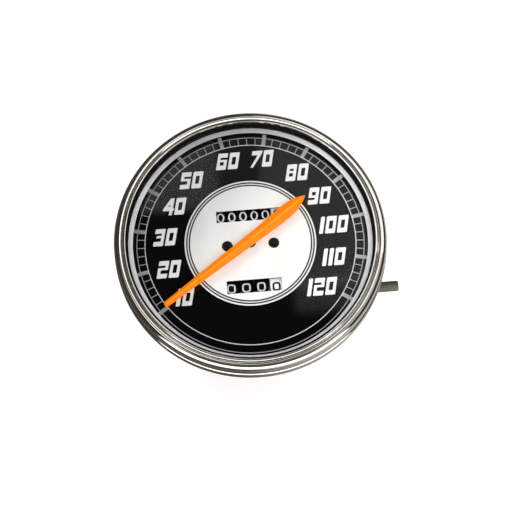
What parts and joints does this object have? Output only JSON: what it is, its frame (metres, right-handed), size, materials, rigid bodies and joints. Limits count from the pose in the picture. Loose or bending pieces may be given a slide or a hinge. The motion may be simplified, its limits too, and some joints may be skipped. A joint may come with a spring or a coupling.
{
  "type": "mechanical speedometer",
  "caption": "Round cable-driven speedometer with a chrome bezel, black dial, silver centre, orange pointer, distance counters and a side reset stem.",
  "frame": {"origin": "on the dial's axis, at the rear face of the casing", "axes": "+Z out of the dial, +Y to 12 o'clock, +X to the side that the reset stem leaves from"},
  "size_m": [0.1328, 0.1276, 0.08],
  "materials": {
    "casing_paint": "satin black paint",
    "zinc": "bright zinc plate",
    "brass": "turned brass",
    "frame_steel": "plated sheet steel",
    "spring_bronze": "rolled spring strip",
    "cork": "pressed cork",
    "dial_black": "gloss black print",
    "centre_silver": "brushed, near white",
    "print_white": "printed ink",
    "screw_black": "black oxide",
    "ring_white": "matt white with a cool cast",
    "gasket_rubber": "matt",
    "glass": "clear and polished",
    "chrome": "polished",
    "pointer_orange": "fluorescent orange",
    "hub_black": "black moulding",
    "cup_aluminium": "spun",
    "magnet_steel": "sintered magnet",
    "stem_olive": "dull plated rod",
    "wheel_white": "white moulding",
    "wheel_black": "black moulding",
    "pinion_nylon": "nylon"
  },
  "bodies": {
    "housing": {"casing": "casing_paint", "mounting_studs": "zinc", "cable_spigot": "brass", "shaft_bush": "brass", "base_plate": "frame_steel", "bridge_pillars": "zinc", "top_bridge": "frame_steel", "gear_bracket": "frame_steel", "odometer_frame": "frame_steel", "trip_frame": "frame_steel", "idler_stub": "zinc", "odometer_axle": "zinc", "odometer_pinion_axle": "zinc", "hairspring": "spring_bronze", "hairspring_stud": "zinc", "dial_gasket": "cork", "dial_plate": "dial_black", "centre_plate": "centre_silver", "dial_scale": "print_white", "dial_numerals": "print_white", "dial_screws": "screw_black", "light_ring": "ring_white", "lens_gasket": "gasket_rubber", "lens": "glass", "bezel": "chrome", "reset_bush": "brass"},
    "needle": {"pointer": "pointer_orange", "pointer_hub": "hub_black", "pointer_spindle": "zinc", "speed_cup": "cup_aluminium"},
    "drive": {"drive_shaft": "zinc", "drive_worm": "brass", "magnet_rotor": "magnet_steel"},
    "counter": {"counter_shaft": "zinc", "counter_gears": "brass"},
    "idler": {"idler_gear": "brass"},
    "cross": {"cross_shaft": "zinc", "cross_gears": "brass"},
    "stem": {"reset_stem": "stem_olive"},
    "trip_arbor": {"trip_axle": "zinc"},
    "trip_driver": {"trip_drive_wheel": "brass"},
    "trip_pinion_arbor": {"trip_pinion_axle": "zinc"},
    "odometer_1": {"odometer_wheel_1": "wheel_white"},
    "odometer_2": {"odometer_wheel_2": "wheel_black"},
    "odometer_3": {"odometer_wheel_3": "wheel_black"},
    "odometer_4": {"odometer_wheel_4": "wheel_black"},
    "odometer_5": {"odometer_wheel_5": "wheel_black"},
    "odometer_6": {"odometer_wheel_6": "wheel_black"},
    "odometer_transfer_1": {"odometer_pinion_1": "pinion_nylon"},
    "odometer_transfer_2": {"odometer_pinion_2": "pinion_nylon"},
    "odometer_transfer_3": {"odometer_pinion_3": "pinion_nylon"},
    "odometer_transfer_4": {"odometer_pinion_4": "pinion_nylon"},
    "odometer_transfer_5": {"odometer_pinion_5": "pinion_nylon"},
    "trip_1": {"trip_wheel_1": "wheel_white"},
    "trip_2": {"trip_wheel_2": "wheel_black"},
    "trip_3": {"trip_wheel_3": "wheel_black"},
    "trip_4": {"trip_wheel_4": "wheel_black"},
    "trip_transfer_1": {"trip_pinion_1": "pinion_nylon"},
    "trip_transfer_2": {"trip_pinion_2": "pinion_nylon"},
    "trip_transfer_3": {"trip_pinion_3": "pinion_nylon"}
  },
  "joints": [
    {"name": "pointer_spin", "type": "hinge", "parent": "housing", "child": "needle", "pos_m": [0, 0, 0.055], "axis": [0, 0, 1], "range_deg": [-250, 0], "stiffness_Nm_per_rad": 0.0004},
    {"name": "drive_spin", "type": "hinge", "parent": "housing", "child": "drive", "pos_m": [0, 0, 0], "axis": [0, 0, 1], "continuous": true},
    {"name": "counter_spin", "type": "hinge", "parent": "housing", "child": "counter", "pos_m": [0.0099, 0, 0.0142], "axis": [0, 1, 0], "continuous": true},
    {"name": "idler_spin", "type": "hinge", "parent": "housing", "child": "idler", "pos_m": [0.02133, 0, 0.01926], "axis": [0, 1, 0], "continuous": true},
    {"name": "cross_spin", "type": "hinge", "parent": "housing", "child": "cross", "pos_m": [0.0185, 0, 0.0345], "axis": [0, 1, 0], "continuous": true},
    {"name": "odometer_1_spin", "type": "hinge", "parent": "housing", "child": "odometer_1", "pos_m": [0, 0.0138, 0.043], "axis": [1, 0, 0], "continuous": true},
    {"name": "odometer_2_spin", "type": "hinge", "parent": "housing", "child": "odometer_2", "pos_m": [0, 0.0138, 0.043], "axis": [1, 0, 0], "continuous": true},
    {"name": "odometer_3_spin", "type": "hinge", "parent": "housing", "child": "odometer_3", "pos_m": [0, 0.0138, 0.043], "axis": [1, 0, 0], "continuous": true},
    {"name": "odometer_4_spin", "type": "hinge", "parent": "housing", "child": "odometer_4", "pos_m": [0, 0.0138, 0.043], "axis": [1, 0, 0], "continuous": true},
    {"name": "odometer_5_spin", "type": "hinge", "parent": "housing", "child": "odometer_5", "pos_m": [0, 0.0138, 0.043], "axis": [1, 0, 0], "continuous": true},
    {"name": "odometer_6_spin", "type": "hinge", "parent": "housing", "child": "odometer_6", "pos_m": [0, 0.0138, 0.043], "axis": [1, 0, 0], "continuous": true},
    {"name": "odometer_transfer_1_spin", "type": "hinge", "parent": "housing", "child": "odometer_transfer_1", "pos_m": [0, 0.02297, 0.03658], "axis": [1, 0, 0], "continuous": true},
    {"name": "odometer_transfer_2_spin", "type": "hinge", "parent": "housing", "child": "odometer_transfer_2", "pos_m": [0, 0.02297, 0.03658], "axis": [1, 0, 0], "continuous": true},
    {"name": "odometer_transfer_3_spin", "type": "hinge", "parent": "housing", "child": "odometer_transfer_3", "pos_m": [0, 0.02297, 0.03658], "axis": [1, 0, 0], "continuous": true},
    {"name": "odometer_transfer_4_spin", "type": "hinge", "parent": "housing", "child": "odometer_transfer_4", "pos_m": [0, 0.02297, 0.03658], "axis": [1, 0, 0], "continuous": true},
    {"name": "odometer_transfer_5_spin", "type": "hinge", "parent": "housing", "child": "odometer_transfer_5", "pos_m": [0, 0.02297, 0.03658], "axis": [1, 0, 0], "continuous": true},
    {"name": "stem_turn", "type": "hinge", "parent": "housing", "child": "stem", "pos_m": [0, -0.0207, 0.03502], "axis": [1, 0, 0], "continuous": true},
    {"name": "trip_arbor_spin", "type": "hinge", "parent": "housing", "child": "trip_arbor", "pos_m": [0, -0.0212, 0.043], "axis": [1, 0, 0], "continuous": true},
    {"name": "trip_driver_spin", "type": "hinge", "parent": "housing", "child": "trip_driver", "pos_m": [0, -0.0212, 0.043], "axis": [1, 0, 0], "continuous": true},
    {"name": "trip_1_spin", "type": "hinge", "parent": "trip_arbor", "child": "trip_1", "pos_m": [0, -0.0212, 0.043], "axis": [1, 0, 0], "continuous": true},
    {"name": "trip_2_spin", "type": "hinge", "parent": "trip_arbor", "child": "trip_2", "pos_m": [0, -0.0212, 0.043], "axis": [1, 0, 0], "continuous": true},
    {"name": "trip_3_spin", "type": "hinge", "parent": "trip_arbor", "child": "trip_3", "pos_m": [0, -0.0212, 0.043], "axis": [1, 0, 0], "continuous": true},
    {"name": "trip_4_spin", "type": "hinge", "parent": "trip_arbor", "child": "trip_4", "pos_m": [0, -0.0212, 0.043], "axis": [1, 0, 0], "continuous": true},
    {"name": "trip_pinion_arbor_spin", "type": "hinge", "parent": "housing", "child": "trip_pinion_arbor", "pos_m": [0, -0.03037, 0.03658], "axis": [1, 0, 0], "continuous": true},
    {"name": "trip_transfer_1_spin", "type": "hinge", "parent": "trip_pinion_arbor", "child": "trip_transfer_1", "pos_m": [0, -0.03037, 0.03658], "axis": [1, 0, 0], "continuous": true},
    {"name": "trip_transfer_2_spin", "type": "hinge", "parent": "trip_pinion_arbor", "child": "trip_transfer_2", "pos_m": [0, -0.03037, 0.03658], "axis": [1, 0, 0], "continuous": true},
    {"name": "trip_transfer_3_spin", "type": "hinge", "parent": "trip_pinion_arbor", "child": "trip_transfer_3", "pos_m": [0, -0.03037, 0.03658], "axis": [1, 0, 0], "continuous": true}
  ],
  "couplings": [
    {"joint": "counter_spin", "follows": "drive_spin", "ratio": -0.04},
    {"joint": "idler_spin", "follows": "drive_spin", "ratio": 0.012632},
    {"joint": "cross_spin", "follows": "drive_spin", "ratio": -0.02},
    {"joint": "odometer_1_spin", "follows": "drive_spin", "ratio": 0.001},
    {"joint": "odometer_2_spin", "follows": "drive_spin", "ratio": 0.0001},
    {"joint": "odometer_3_spin", "follows": "drive_spin", "ratio": 0.00001},
    {"joint": "odometer_4_spin", "follows": "drive_spin", "ratio": 0.000001},
    {"joint": "odometer_5_spin", "follows": "drive_spin", "ratio": 0.0000001},
    {"joint": "odometer_6_spin", "follows": "drive_spin", "ratio": 0.00000001},
    {"joint": "odometer_transfer_1_spin", "follows": "drive_spin", "ratio": -0.00025},
    {"joint": "odometer_transfer_2_spin", "follows": "drive_spin", "ratio": -0.000025},
    {"joint": "odometer_transfer_3_spin", "follows": "drive_spin", "ratio": -0.0000025},
    {"joint": "odometer_transfer_4_spin", "follows": "drive_spin", "ratio": -0.00000025},
    {"joint": "odometer_transfer_5_spin", "follows": "drive_spin", "ratio": -0.000000025},
    {"joint": "trip_arbor_spin", "follows": "stem_turn", "ratio": -1},
    {"joint": "trip_driver_spin", "follows": "drive_spin", "ratio": 0.001},
    {"joint": "trip_1_spin", "follows": "drive_spin", "ratio": 0.001},
    {"joint": "trip_2_spin", "follows": "drive_spin", "ratio": 0.0001},
    {"joint": "trip_3_spin", "follows": "drive_spin", "ratio": 0.00001},
    {"joint": "trip_4_spin", "follows": "drive_spin", "ratio": 0.000001},
    {"joint": "trip_pinion_arbor_spin", "follows": "stem_turn", "ratio": 2.5},
    {"joint": "trip_transfer_1_spin", "follows": "drive_spin", "ratio": -0.00025},
    {"joint": "trip_transfer_2_spin", "follows": "drive_spin", "ratio": -0.000025},
    {"joint": "trip_transfer_3_spin", "follows": "drive_spin", "ratio": -0.0000025}
  ]
}
